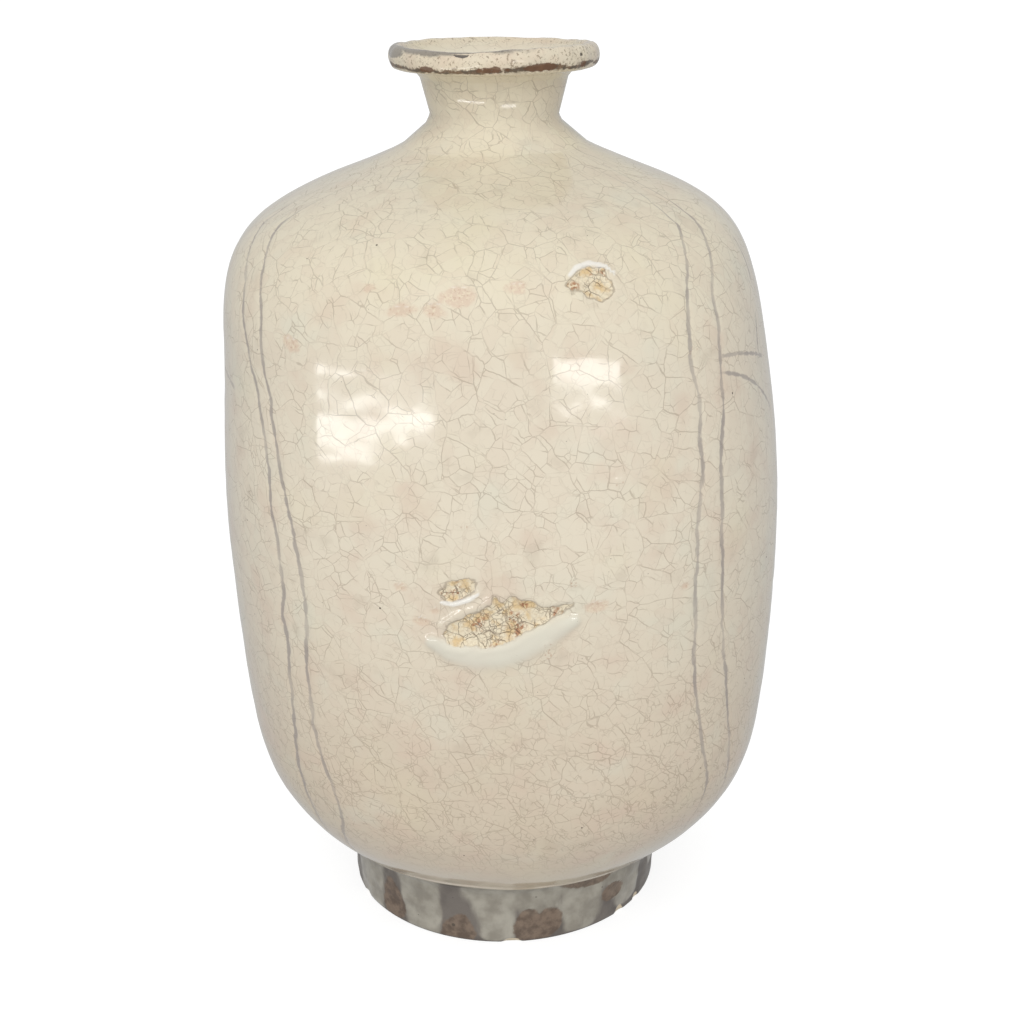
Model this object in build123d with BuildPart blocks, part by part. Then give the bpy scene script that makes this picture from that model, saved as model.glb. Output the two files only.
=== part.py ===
from build123d import *
from math import cos, pi, sin
import os

# Paddled stoneware sake bottle: round foot, soft square body, short neck, rolled lip.
# Millimetres, +Z up. Origin: centre of the foot's resting plane.
# The four faces of the body look along +X, -X, +Y and -Y.

# ---- driving dimensions ----
height = 240.0            # foot to the top of the lip
body_squareness = 2.45    # superellipse exponent of the belly (2 is a circle)
belly_lean = 1.7          # how far the hand-thrown belly leans towards +X
belly_lean_skew = 0.45    # under 1 puts the most lean low in the belly
shoulder_lean = 1.85      # and how far the shoulder leans back the other way
shoulder_lean_skew = 5.5  # over 1 puts it high
wall_t = 6.5              # clay, measured square to the surface
outer_glaze_t = 0.8
inner_glaze_t = 0.5
lip_glaze_t = 0.5

foot_r = 44.7             # outer edge of the resting face
foot_ring_w = 8.0
foot_top_z = 18.0         # where the foot meets the belly
recess_z = 9.0            # depth of the hollow under the foot
foot_edge = 0.8           # worn edges of the resting face

glaze_edge_z = 22.0       # the outer glaze stops here, above the foot
neck_z = 212.0            # where the collar sits on the shoulder
throat_base_r = 12.9      # clear radius where the throat opens into the belly
throat_r = 11.0           # clear radius of the neck
throat_low_z = 216.0      # the throat is straight between these two heights
throat_high_z = 228.0
lip_z = 234.0             # where the lip starts to roll outwards
mouth_r = 15.8            # clear radius where the lip starts
lip_r = 24.9              # middle of the roll
roll_w = 4.3
roll_h = 5.4

# Silhouette of the outer glaze: (height, half width across the faces)
profile = [
    (foot_top_z, 46.5),
    (glaze_edge_z, 51.4),
    (27.0, 57.0),
    (34.0, 62.6),
    (45.0, 68.4),
    (62.0, 72.0),
    (88.0, 74.2),
    (115.0, 75.1),
    (143.0, 74.2),
    (168.0, 71.4),
    (184.0, 68.8),
    (193.0, 65.0),
    (200.0, 57.6),
    (206.0, 46.0),
    (neck_z, 30.9),
    (216.0, 22.7),
    (220.0, 18.0),
    (224.0, 16.9),
    (228.0, 16.9),
    (231.0, 17.7),
    (lip_z, 20.4),
]
section_points = 32       # points round one section of the body
stations = 36             # sections of the body, evenly spaced along its silhouette

# Depths under the surface of the outer glaze
clay_depth = outer_glaze_t
cavity_depth = outer_glaze_t + wall_t
air_depth = cavity_depth + inner_glaze_t


# ---- shared geometry ----
silhouette = Spline(*[(half_width, z) for z, half_width in profile])


def silhouette_point(share, depth):
    """Half width and height at a share of the silhouette's length, the given depth into the wall."""
    length = share * silhouette.length
    point = silhouette.position_at(length, position_mode=PositionMode.LENGTH)
    tangent = silhouette.tangent_at(length, position_mode=PositionMode.LENGTH)
    return point.X - depth / tangent.Y, point.Y


def squareness(z):
    """Exponent of the section: round at the foot and the neck, squarest in the belly."""
    from_foot = min((z - foot_top_z) / 40.0, 1.0)
    from_neck = min(max(neck_z - z, 0.0) / 34.0, 1.0)
    return 2.0 + (body_squareness - 2.0) * from_foot * from_neck


def lean_at(z):
    """How far the section's centre stands towards +X: nothing at the foot and the neck."""
    rise = min(max(z - foot_top_z, 0.0) / (neck_z - foot_top_z), 1.0)
    belly = belly_lean * sin(pi * rise ** belly_lean_skew)
    shoulder = shoulder_lean * sin(pi * rise ** shoulder_lean_skew) ** 2
    return belly - shoulder


def section_outline(half_width, z):
    """Points of one rounded-square section."""
    n = squareness(z)
    points = []
    for k in range(section_points):
        a = 2 * pi * k / section_points
        r = half_width / (abs(cos(a)) ** n + abs(sin(a)) ** n) ** (1 / n)
        points.append((r * cos(a) + lean_at(z), r * sin(a)))
    return points


def vessel_form(depth):
    """Solid body and neck whose surface lies the given depth under the outer glaze."""
    with BuildPart() as form:
        for i in range(stations):
            half_width, z = silhouette_point(i / (stations - 1), depth)
            with BuildSketch(Plane.XY.offset(z)):
                with BuildLine():
                    Spline(*section_outline(half_width, z), periodic=True)
                make_face()
        loft()
    return form.part


def throat_form(gap):
    """The air in the neck, grown outwards by the given gap."""
    r = throat_r + gap
    with BuildPart() as form:
        with BuildSketch(Plane.XZ):
            with BuildLine():
                Polyline((0, neck_z), (throat_base_r + gap, neck_z), (r, throat_low_z), (r, throat_high_z))
                Spline((r, throat_high_z), (mouth_r + gap, lip_z), tangents=((0, 1), (1, 0.7)))
                Polyline((mouth_r + gap, lip_z), (0, lip_z), (0, neck_z))
            make_face()
        revolve(axis=Axis.Z)
    return form.part


def lip_form(depth):
    """Ring of the lip: an oval roll on a flared web, the given depth under the lip glaze."""
    web = [(mouth_r - 1.4 + depth, lip_z - 1), (profile[-1][1] - 2.3 - depth, lip_z - 1)]
    with BuildPart() as form:
        with BuildSketch(Plane.XZ):
            with BuildLine():
                EllipticalCenterArc((lip_r, height - roll_h / 2), roll_w / 2 - depth, roll_h / 2 - depth)
                Line(*web)
            make_hull()
        revolve(axis=Axis.Z)
        split(bisect_by=Plane.XY.offset(lip_z), keep=Keep.TOP)
    return form.part


clay_form = vessel_form(clay_depth)
cavity_form = vessel_form(cavity_depth)

# ---- clay ----
with BuildPart() as foot_ring:
    inner_r = foot_r - foot_ring_w
    top_r, top_z = silhouette_point(0, clay_depth)
    with BuildSketch(Plane.XZ):
        Polygon((inner_r, 0), (foot_r, 0), (top_r, top_z), (inner_r, top_z), align=None)
    revolve(axis=Axis.Z)
    chamfer(foot_ring.faces().sort_by(Axis.Z)[0].edges(), foot_edge)
foot_ring.part.label = "foot_ring"

with BuildPart() as base_floor:
    with BuildSketch(Plane.XY.offset(recess_z)):
        Circle(foot_r - foot_ring_w)
    extrude(amount=foot_top_z - recess_z)
base_floor.part.label = "base_floor"

with BuildPart() as body_wall:
    add(clay_form)
    split(bisect_by=Plane.XY.offset(neck_z), keep=Keep.BOTTOM)
    add(cavity_form, mode=Mode.SUBTRACT)
body_wall.part.label = "body_wall"

with BuildPart() as neck_collar:
    add(clay_form)
    split(bisect_by=Plane.XY.offset(neck_z), keep=Keep.TOP)
    add(throat_form(inner_glaze_t), mode=Mode.SUBTRACT)
neck_collar.part.label = "neck_collar"

with BuildPart() as rolled_lip:
    add(lip_form(lip_glaze_t))
rolled_lip.part.label = "rolled_lip"

# ---- glaze ----
with BuildPart() as outer_glaze:
    add(vessel_form(0))
    split(bisect_by=Plane.XY.offset(glaze_edge_z), keep=Keep.TOP)
    add(clay_form, mode=Mode.SUBTRACT)
outer_glaze.part.label = "outer_glaze"

with BuildPart() as air:
    add(vessel_form(air_depth))
    split(bisect_by=Plane.XY.offset(foot_top_z + inner_glaze_t), keep=Keep.TOP)

with BuildPart() as inner_glaze:
    add(cavity_form)
    split(bisect_by=Plane.XY.offset(neck_z), keep=Keep.BOTTOM)
    add(air.part, mode=Mode.SUBTRACT)
inner_glaze.part.label = "inner_glaze"

with BuildPart() as mouth_glaze:
    add(throat_form(inner_glaze_t))
    add(lip_form(0))
    add(throat_form(0), mode=Mode.SUBTRACT)
    add(lip_form(lip_glaze_t), mode=Mode.SUBTRACT)
mouth_glaze.part.label = "mouth_glaze"

# ---- export ----
os.makedirs("parts", exist_ok=True)
for piece in (foot_ring, base_floor, body_wall, neck_collar, rolled_lip, outer_glaze, inner_glaze, mouth_glaze):
    export_step(piece.part, f"parts/{piece.part.label}.step")
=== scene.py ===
from math import atan2, cos, hypot, pi, radians, sin, sqrt

import bmesh
import bpy
import numpy as np
from mathutils import Matrix, Vector
from mathutils.bvhtree import BVHTree


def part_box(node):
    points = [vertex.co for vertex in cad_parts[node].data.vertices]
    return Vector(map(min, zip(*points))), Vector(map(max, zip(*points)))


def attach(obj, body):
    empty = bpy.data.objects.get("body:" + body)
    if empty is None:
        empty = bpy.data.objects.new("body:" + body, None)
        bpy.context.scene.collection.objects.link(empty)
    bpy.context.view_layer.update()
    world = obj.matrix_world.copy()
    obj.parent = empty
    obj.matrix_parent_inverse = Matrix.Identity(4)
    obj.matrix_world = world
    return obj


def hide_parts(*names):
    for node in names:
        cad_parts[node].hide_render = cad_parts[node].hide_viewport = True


# Looks of a paddled stoneware sake bottle. Lengths in the shape code are millimetres, and become
# metres where a mesh, a light or the camera is made. Angles about the axis run from +X towards +Y, so
# the front of the bottle, towards -Y, is at 270 degrees. Heights are above the foot's resting plane.
MM = 0.001

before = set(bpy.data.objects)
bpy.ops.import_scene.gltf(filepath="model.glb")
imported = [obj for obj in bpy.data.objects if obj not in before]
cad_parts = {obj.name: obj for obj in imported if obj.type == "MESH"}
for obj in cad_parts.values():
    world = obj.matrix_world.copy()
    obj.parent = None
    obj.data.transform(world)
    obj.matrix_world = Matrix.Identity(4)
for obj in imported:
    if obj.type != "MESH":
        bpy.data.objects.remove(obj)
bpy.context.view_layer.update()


# ---- numbers ----
def smooth(x, low, high):
    """0 below low, 1 above high, and a soft step between."""
    t = np.clip((x - low) / (high - low), 0.0, 1.0)
    return t * t * (3 - 2 * t)


def hump(distance, width):
    """1 on a line, falling off to nothing a few widths away."""
    return np.exp(-((distance / width) ** 2))


def turn(angle):
    """The same angle in degrees, from -180 to 180."""
    return (angle + 180.0) % 360.0 - 180.0


def waves(points, wavelength, seed, count=24):
    """A smooth random field of about unit size: plane waves of nearly one wavelength."""
    rng = np.random.default_rng(seed)
    directions = rng.normal(size=(count, 3))
    directions /= np.linalg.norm(directions, axis=1, keepdims=True)
    frequencies = 2 * pi / wavelength * rng.uniform(0.6, 1.4, count)
    phases = rng.uniform(0, 2 * pi, count)
    turns = points @ (directions * frequencies[:, None]).T + phases
    return np.cos(turns).sum(axis=-1) * sqrt(2 / count)


def paced(start, end, spacing):
    """Places from start to end, each spacing(place) past the last, stretched to land on end."""
    places = [start]
    while places[-1] < end:
        places.append(places[-1] + spacing(places[-1]))
    places = np.array(places)
    return start + (places - start) * (end - start) / (places[-1] - start)


def unit(vectors):
    return vectors / np.linalg.norm(vectors, axis=-1, keepdims=True)


def grid_normals(points):
    """Outward normals of a (rows, columns, 3) grid whose rows climb and whose columns run round."""
    around = np.roll(points, -1, axis=1) - np.roll(points, 1, axis=1)
    up = np.gradient(points, axis=0)
    return unit(np.cross(around, up))


def ring_mesh(name, points, fields):
    """A closed tube of quads: the grid closes round its columns, and its last row joins its first.
    fields are named numbers, one a vertex, that the material reads."""
    rows, columns = points.shape[:2]
    i, j = np.meshgrid(np.arange(rows), np.arange(columns), indexing="ij")
    over, right = (i + 1) % rows, (j + 1) % columns
    quads = np.stack([i * columns + j, i * columns + right, over * columns + right, over * columns + j], -1)
    mesh = bpy.data.meshes.new(name)
    mesh.from_pydata((points.reshape(-1, 3) * MM).tolist(), [], quads.reshape(-1, 4).tolist())
    mesh.polygons.foreach_set("use_smooth", [True] * len(mesh.polygons))
    for field, values in fields.items():
        attribute = mesh.attributes.new(field, "FLOAT", "POINT")
        attribute.data.foreach_set("value", values.astype(np.float32).ravel())
    mesh.update()
    obj = bpy.data.objects.new(name, mesh)
    bpy.context.scene.collection.objects.link(obj)
    return obj


# ---- the CAD surface that the glaze follows ----
RAY_START = 200.0             # mm from the axis, well outside the bottle


def tree_of(node):
    shape = bmesh.new()
    shape.from_mesh(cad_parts[node].data)
    return BVHTree.FromBMesh(shape)


def outside_radius(tree, centre_x, angle, height):
    """Distance from the centre to the outermost surface, along a level ray."""
    outward = Vector((cos(angle), sin(angle), 0.0))
    start = Vector((centre_x, 0.0, height)) + outward * RAY_START
    distance = tree.ray_cast(start * MM, -outward)[3]
    return RAY_START - distance / MM


SAMPLE_STEP = 0.6             # mm between sampled heights
SAMPLE_ANGLES = 96
HARMONICS = 18                # enough for the rounded square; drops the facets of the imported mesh
PROFILE_BLUR = 1.6            # samples; smooths the facets along the height

skin_low, skin_high = (corner.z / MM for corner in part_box("outer_glaze"))
sample_heights = np.arange(skin_low + 0.1, skin_high - 0.05, SAMPLE_STEP)
skin_tree = tree_of("outer_glaze")


def sampled_outline(height):
    """Centre and round-the-clock radii of the glaze at one height."""
    reach_right = outside_radius(skin_tree, 0.0, 0.0, height)
    reach_left = outside_radius(skin_tree, 0.0, pi, height)
    centre = (reach_right - reach_left) / 2
    angles = 2 * pi * np.arange(SAMPLE_ANGLES) / SAMPLE_ANGLES
    return centre, [outside_radius(skin_tree, centre, a, height) for a in angles]


def blurred(values):
    """Smooths a table along its rows, with straight continuations past both ends."""
    reach = 6
    before = values[0] - (values[1] - values[0]) * np.arange(reach, 0, -1)[:, None]
    after = values[-1] + (values[-1] - values[-2]) * np.arange(1, reach + 1)[:, None]
    padded = np.vstack([before, values, after])
    weights = hump(np.arange(-reach, reach + 1), PROFILE_BLUR * sqrt(2))
    weights /= weights.sum()
    return np.stack([np.convolve(column, weights, "valid") for column in padded.T], axis=1)


outlines = [sampled_outline(height) for height in sample_heights]
centres = blurred(np.array([[centre] for centre, _ in outlines]))[:, 0]
spectrum = np.fft.rfft(np.array([radii for _, radii in outlines]), axis=1)[:, :HARMONICS] / SAMPLE_ANGLES
spectrum = blurred(spectrum.real) + 1j * blurred(spectrum.imag)
mean_radius = spectrum[:, 0].real


def radius_on_samples(angles):
    """Radii at every sampled height (rows) and the given angles in radians (columns)."""
    powers = np.exp(1j * np.outer(np.arange(HARMONICS), angles))
    return 2 * (spectrum @ powers).real - mean_radius[:, None]


def along_heights(values, heights):
    """Reads sampled values at any height, carried straight on below the lowest sample."""
    low_slope = (values[2] - values[0]) / (2 * SAMPLE_STEP)
    below = np.minimum(heights - sample_heights[0], 0.0)
    return np.interp(heights, sample_heights, values) + low_slope * below


# ---- rows and columns of the glaze skin ----
CORNERS = (45.0, 135.0, 225.0, 315.0)
CORNER_REACH = 11.0           # degrees of finer columns either side of a corner
SCAR_SIDE = (252.0, 298.0)    # degrees of the finest columns, across the front
FRONT_STEP, CORNER_STEP, PLAIN_STEP = 0.52, 0.75, 1.3  # degrees a column
FINE_ROWS = ((0.0, skin_low + 2.5, 0.45), (101.0, 122.0, 0.62), (184.0, 198.0, 0.8))  # low, high, mm a row
PLAIN_ROW = 1.3
TUCK = 1.1                    # the skin runs up this far inside the lip


def column_spacing(angle):
    near_corner = min(abs(turn(angle - corner)) for corner in CORNERS) < CORNER_REACH
    if SCAR_SIDE[0] < angle < SCAR_SIDE[1]:
        return FRONT_STEP
    return CORNER_STEP if near_corner else PLAIN_STEP


def row_spacing(distance):
    height = np.interp(distance, path_length, sample_heights)
    for low, high, step in FINE_ROWS:
        if low < height < high:
            return step
    return PLAIN_ROW


angles = radians(1.0) * paced(0.0, 360.0, column_spacing)[:-1]
steps = np.hypot(np.diff(mean_radius), SAMPLE_STEP)
path_length = np.concatenate([[0.0], np.cumsum(steps)])
row_heights = np.interp(paced(0.0, path_length[-1], row_spacing), path_length, sample_heights)
radius_table = radius_on_samples(angles)

# The lower edge of the glaze wanders up and down round the foot, and the first rows follow it.
edge_points = np.stack([np.cos(angles), np.sin(angles), 0 * angles], -1) * mean_radius[0]
edge_rise = 0.35 * waves(edge_points, 40.0, seed=11) + 0.16 * waves(edge_points, 9.0, seed=12)
follow = 1 - smooth(row_heights, skin_low, skin_low + 9.0)
heights = row_heights[:, None] + edge_rise[None, :] * follow[:, None]


def bare_skin(heights, inset):
    """Points of the smooth glaze surface at the given heights, moved in by inset."""
    columns = range(len(angles))
    radii = np.stack([along_heights(radius_table[:, j], heights[:, j]) for j in columns], 1) - inset
    middle = along_heights(centres, heights)
    return np.stack([middle + radii * np.cos(angles), radii * np.sin(angles), heights], -1)


smooth_skin = bare_skin(heights, 0.0)
normals = grid_normals(smooth_skin)
skin_radius = np.hypot(smooth_skin[..., 0], smooth_skin[..., 1])
skin_angle = np.degrees(angles)[None, :] + 0 * heights


# ---- incised lines at the corners ----
# Each line as (height, angle) from top to bottom. Lines come in pairs, one pair to a corner.
FIRST_LINES = (
    [(199, 33), (191, 38.5), (170, 41.5), (130, 43), (90, 41), (52, 39)],
    [(198, 125), (189, 130.5), (160, 132.5), (115, 130.8), (78, 133), (44, 135)],
    [(199, 201), (192, 211), (178, 218), (152, 225.3), (112, 228.8), (73, 227.4), (39, 226)],
    [(200, 323), (194, 317), (183, 312.3), (150, 310.8), (112, 308.4), (84, 310), (56, 316)],
)
SECOND_LINES = (
    [(198, 43), (188, 47), (160, 48.2), (118, 50.4), (80, 48), (47, 46)],
    [(199, 134), (190, 138), (165, 139), (120, 136.8), (82, 139.5), (50, 142)],
    [(200, 212), (191, 220.5), (168, 225.5), (142, 230.5), (122, 233.5), (75, 233.2), (50, 235.8), (33, 230.5)],
    [(200, 331), (186, 321), (168, 318), (122, 314.8), (92, 317), (56, 323.5)],
)
LINE_GROOVE = 0.16            # depth of the groove
LINE_WIDTH = 0.75
TAPER = 0.35                  # a line narrows away over a few millimetres past its ends


def line_angle(line, heights):
    """Angle of a line at each height: a smooth curve through its points."""
    line_heights, line_angles = np.array(sorted(line), float).T
    slopes = np.gradient(line_angles, line_heights)
    at = np.clip(heights, line_heights[0], line_heights[-1])
    k = np.clip(np.searchsorted(line_heights, at) - 1, 0, len(line_heights) - 2)
    span = line_heights[k + 1] - line_heights[k]
    t = (at - line_heights[k]) / span
    start = (1 + 2 * t) * (1 - t) ** 2 * line_angles[k] + t * (1 - t) ** 2 * span * slopes[k]
    end = t * t * (3 - 2 * t) * line_angles[k + 1] + t * t * (t - 1) * span * slopes[k + 1]
    return start + end


def line_distance(lines, seed):
    """Distance to the nearest line, with a sign that changes only on a line, so it reads smoothly
    between vertices: the four corners take turns in which side is positive."""
    wobble = 0.28 * waves(smooth_skin, 14.0, seed) + 0.12 * waves(smooth_skin, 4.5, seed + 1)
    nearest = np.full(heights.shape, 1e3)
    for corner, line in enumerate(lines):
        side = 1 if corner % 2 == 0 else -1
        away = radians(1) * turn(skin_angle - line_angle(line, heights)) * skin_radius + wobble
        tops = [height for height, _ in line]
        past_end = np.maximum(heights - max(tops), min(tops) - heights)
        away += np.sign(away) * TAPER * np.maximum(past_end, 0.0)
        nearest = np.where(abs(away) < abs(nearest), side * away, nearest)
    return np.clip(nearest, -20.0, 20.0)


first_line = line_distance(FIRST_LINES, seed=21)
second_line = line_distance(SECOND_LINES, seed=23)


# ---- brushed strokes on the faces ----
# Each stroke as (start, end, bulge) in millimetres on its face: across from the face's middle, and height.
FACE_STROKES = {
    0.0: [
        ((-19, 194), (-22, 183), 0.5), ((-27.5, 176), (-32, 166), -0.6), ((-55, 171), (-28, 165), 0.9),
        ((-55.5, 167), (-25.5, 150), 2.5), ((-26, 108), (-25, 102), 0.3), ((16, 172), (31, 140), -3.2),
    ],
    90.0: [
        ((-17, 193), (-21, 182), 0.5), ((-25, 173), (-31, 161), -0.6), ((-52, 168), (-26, 163), 0.9),
        ((-53, 164), (-24, 149), 2.4), ((22, 112), (24, 104), 0.3), ((14, 170), (28, 138), -3.0),
    ],
    180.0: [
        ((26, 162), (44, 160.5), 0.5), ((-18, 191), (-22, 180), 0.5), ((-50, 170), (-25, 164), 1.0),
        ((-51, 163), (-22, 147), 2.2), ((-20, 110), (-18, 103), 0.3), ((0, 172), (13, 142), -3.0),
    ],
}
STROKE_SLOTS = 6
FAR = 40.0


def stroke_fields(slot):
    """For one stroke of each face: distance across the stroke, and how far past its ends."""
    across_stroke = np.full(heights.shape, FAR)
    past_ends = np.full(heights.shape, FAR)
    for face, strokes in FACE_STROKES.items():
        (start_x, start_z), (end_x, end_z), bulge = strokes[slot]
        length = hypot(end_x - start_x, end_z - start_z)
        along_x, along_z = (end_x - start_x) / length, (end_z - start_z) / length
        radius = (length**2 / 4 + bulge**2) / (2 * bulge)
        middle_x = (start_x + end_x) / 2 - along_z * (bulge - radius)
        middle_z = (start_z + end_z) / 2 + along_x * (bulge - radius)
        off_face = turn(skin_angle - face)
        x = radians(1) * off_face * skin_radius - middle_x
        z = heights - middle_z
        toward_bulge = (-x * along_z + z * along_x) * np.sign(radius)
        sideways = x * along_x + z * along_z
        half_angle = atan2(length / 2, abs(radius) - abs(bulge))
        past = (abs(np.arctan2(sideways, toward_bulge)) - half_angle) * abs(radius)
        here = abs(off_face) < 45
        across_stroke = np.where(here, np.hypot(x, z) - abs(radius), across_stroke)
        past_ends = np.where(here, np.clip(past, -FAR, FAR), past_ends)
    return across_stroke, past_ends


# ---- places on the skin ----
PATCH_REACH = 34.0            # a place's own plane is used this far round it


def plane_at(angle, height):
    """Skin points in the plane that touches the skin at one place: right and up, or out of reach."""
    i = np.argmin(abs(row_heights - height))
    j = np.argmin(abs(turn(np.degrees(angles) - angle)))
    away = smooth_skin - smooth_skin[i, j]
    across = np.array([-sin(angles[j]), cos(angles[j]), 0.0])
    up = np.cross(normals[i, j], across)
    near = np.linalg.norm(away, axis=-1) < PATCH_REACH
    return np.where(near, away @ across, PATCH_REACH), np.where(near, away @ up, PATCH_REACH)


def blob_distance(angle, height, half_width, half_height, tilt, seed):
    """Distance in mm to the ragged edge of an oval, negative inside."""
    x, y = plane_at(angle, height)
    c, s = cos(radians(tilt)), sin(radians(tilt))
    along, over = (x * c + y * s) / half_width, (y * c - x * s) / half_height
    size = np.hypot(along, over)
    ragged = 0.10 * waves(smooth_skin, 7.0, seed) + 0.06 * waves(smooth_skin, 2.6, seed + 1)
    return (size - 1 + ragged) * min(half_width, half_height)


def outline_distance(x, y, outline):
    """Distance in mm to a closed outline, negative inside."""
    nearest = np.full(x.shape, 1e3)
    inside = np.zeros(x.shape, bool)
    for (ax, ay), (bx, by) in zip(outline, outline[1:] + outline[:1]):
        share = ((x - ax) * (bx - ax) + (y - ay) * (by - ay)) / ((bx - ax) ** 2 + (by - ay) ** 2)
        share = np.clip(share, 0.0, 1.0)
        nearest = np.minimum(nearest, np.hypot(x - ax - share * (bx - ax), y - ay - share * (by - ay)))
        crosses = (ay > y) != (by > y)
        left_of = x < ax + (y - ay) / np.where(crosses, by - ay, 1.0) * (bx - ax)
        inside ^= crosses & left_of
    return np.where(inside, -nearest, nearest)


def ridge(x, y, route):
    """A soft ridge along a route of (across, up, half width) points: 1 on its crest."""
    crest = np.zeros(x.shape)
    for (ax, ay, aw), (bx, by, bw) in zip(route, route[1:]):
        share = ((x - ax) * (bx - ax) + (y - ay) * (by - ay)) / ((bx - ax) ** 2 + (by - ay) ** 2)
        share = np.clip(share, 0.0, 1.0)
        away = np.hypot(x - ax - share * (bx - ax), y - ay - share * (by - ay))
        width = aw + share * (bw - aw)
        crest = np.maximum(crest, np.clip(1 - (away / width) ** 2, 0.0, 1.0) ** 1.4)
    return crest


# ---- scars, where the glaze crawled back from the clay ----
# The big one on the front: its ragged outline, and the thick rolls of glaze beside it, as
# (across, up) millimetres from its middle.
SCAR_PLACE = (272.5, 111.5)
SCAR_OUTLINE = [
    (-15.5, -3.2), (-13.4, 0.2), (-10.2, 1.6), (-6.4, 3.0), (-3.4, 4.6), (-2.6, 7.0), (-1.2, 5.6),
    (2.6, 7.2), (5.6, 6.2), (9.4, 4.4), (12.8, 4.2), (16.4, 5.2), (14.4, 2.6), (10.6, 0.4),
    (6.2, -1.6), (3.2, -3.4), (-1.0, -5.6), (-5.0, -6.2), (-9.4, -6.0), (-13.4, -5.6),
]
SCAR_ROLL = [
    (-17.5, -5.0, 2.4), (-13.0, -7.2, 4.0), (-7.0, -8.6, 4.8), (-1.2, -8.2, 5.0), (4.0, -6.2, 5.0),
    (8.6, -3.8, 4.6), (13.0, -1.4, 3.6), (16.4, 0.4, 2.4),
]
SCAR_OVERHANG = [(-15.0, -0.6, 1.0), (-11.0, 2.9, 1.3), (-6.6, 4.4, 1.4), (-3.8, 6.2, 1.0)]
CRUST_PLACE = (264.0, 120.4)  # a small crust with a bright roll under it, up and left of the big scar
CRUST_ROLL = [(-4.2, -3.2, 0.7), (-1.2, -3.6, 1.1), (2.4, -2.4, 1.1), (5.0, -0.8, 0.6)]
UPPER_PLACE = (293.1, 191.0)
UPPER_ROLL = [(-5.2, 2.4, 0.7), (-3.0, 4.3, 1.1), (0.4, 5.0, 1.2), (4.0, 3.8, 1.0), (5.6, 1.8, 0.6)]
BACK_PLACE = (137.0, 96.0)    # and one round the back
BACK_ROLL = [(-7.6, -1.4, 1.0), (-4.0, -4.2, 2.1), (1.0, -5.4, 2.6), (6.0, -3.6, 1.6), (8.4, -0.6, 0.8)]

# Scuffs, where the glaze is only thin and pinkish: (angle, height, half width, half height, tilt).
# Each has a pale crescent of thicker glaze over it; its paleness is partly a painted highlight.
SCUFFS = (
    (289.0, 115.2, 2.7, 1.4, 4), (306.1, 117.4, 1.3, 0.9, 0), (256.1, 186.2, 3.4, 1.3, 8),
    (262.4, 186.4, 2.8, 1.6, -6), (266.9, 189.4, 3.6, 2.4, 12), (278.4, 191.0, 2.3, 1.3, 10),
    (248.4, 190.3, 1.6, 1.0, 0), (232.8, 175.8, 2.6, 1.8, -30), (257.4, 111.6, 2.2, 1.3, -20),
    (259.9, 114.9, 1.2, 0.9, 0), (253.6, 120.2, 1.4, 0.9, 10), (46.0, 150.0, 2.6, 1.5, 20),
    (128.0, 172.0, 2.4, 1.6, -20), (139.0, 60.0, 3.2, 1.8, 10), (51.0, 84.0, 2.0, 1.3, 0),
)
# Blisters in the glaze: (angle, height, radius)
BLISTERS = (
    (284.8, 121.5, 0.9), (280.4, 105.4, 1.1), (280.1, 103.0, 0.8), (252.0, 134.9, 0.9), (311.6, 174.4, 1.1),
    (243.0, 136.1, 0.8), (265.6, 136.0, 0.8), (294.0, 146.0, 0.8), (132.0, 120.0, 1.2), (42.0, 128.0, 1.1),
)

scar_x, scar_y = plane_at(*SCAR_PLACE)
crust_x, crust_y = plane_at(*CRUST_PLACE)
upper_x, upper_y = plane_at(*UPPER_PLACE)
back_x, back_y = plane_at(*BACK_PLACE)
ragged_x = scar_x + 0.25 * waves(smooth_skin, 3.4, seed=31)
ragged_y = scar_y + 0.25 * waves(smooth_skin, 3.4, seed=32)
scar = np.minimum.reduce([
    outline_distance(ragged_x, ragged_y, SCAR_OUTLINE),
    blob_distance(*CRUST_PLACE, 4.6, 2.6, 20, seed=33),
    blob_distance(*UPPER_PLACE, 5.2, 3.6, -12, seed=35),
    blob_distance(*BACK_PLACE, 7.6, 4.2, -8, seed=39),
])
scuff = np.minimum.reduce([blob_distance(*place, seed=41) for place in SCUFFS])
roll = np.maximum.reduce([
    ridge(scar_x, scar_y, SCAR_ROLL),
    0.60 * ridge(back_x, back_y, BACK_ROLL),
])
crescent = np.maximum(ridge(crust_x, crust_y, CRUST_ROLL), ridge(upper_x, upper_y, UPPER_ROLL))
for angle, height, half_width, half_height, tilt in SCUFFS:
    x, y = plane_at(angle, height + half_height * 0.8)
    arch = [(-half_width * 0.8, -0.5, 0.3), (0.0, 0.4, 0.55), (half_width * 0.8, -0.5, 0.3)]
    crescent = np.maximum(crescent, 0.6 * ridge(x, y, arch))
overhang = ridge(scar_x, scar_y, SCAR_OVERHANG)

blister = np.zeros(heights.shape)
for angle, height, radius in BLISTERS:
    x, y = plane_at(angle, height)
    away = np.hypot(x, y) / radius
    blister = np.maximum(blister, hump(away - 0.8, 0.55) - 1.2 * hump(away, 0.5))

# ---- the height of the glaze over its smooth surface ----
ROLL_HEIGHT = 0.85
SCAR_DEPTH = 0.34
DEEPEST = -0.55               # the clay is 0.8 under the smooth surface

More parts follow.
